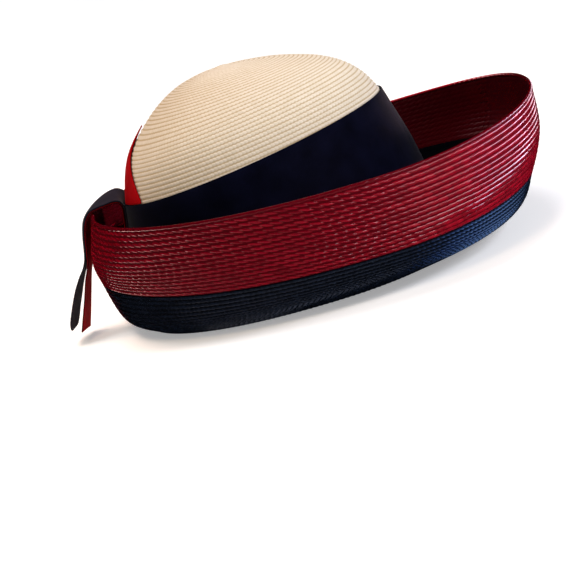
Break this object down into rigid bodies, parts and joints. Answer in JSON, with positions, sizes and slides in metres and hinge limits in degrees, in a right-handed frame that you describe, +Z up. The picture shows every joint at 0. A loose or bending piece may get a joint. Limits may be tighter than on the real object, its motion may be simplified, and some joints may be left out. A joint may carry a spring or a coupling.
{
  "type": "straw hat with upturned brim",
  "caption": "Round-crowned straw hat with a deep upturned brim in two colours, a ribbon band round the crown and a ribbon strap with hanging tails over the back of the rim.",
  "frame": {"origin": "middle of the hat's length and width, on the surface that it rests on", "axes": "+X towards the front of the hat, +Y towards the wearer's left, +Z up"},
  "size_m": [0.3186, 0.272, 0.1404],
  "materials": {
    "cream_straw": "fine straw braid sewn in rows, natural cream, softly glossy",
    "red_straw": "straw braid sewn in rows, dyed dark red, glossy",
    "navy_straw": "straw braid sewn in rows, dyed navy, glossy",
    "navy_ribbon": "woven ribbon, navy, matt",
    "red_ribbon": "woven ribbon, red, matt"
  },
  "bodies": {
    "root": {"crown": "cream_straw", "brim_base": "navy_straw", "brim_wall": "red_straw", "hat_band": "navy_ribbon", "back_tab": "red_ribbon", "navy_ribbon": "navy_ribbon", "red_ribbon": "red_ribbon"}
  },
  "joints": []
}
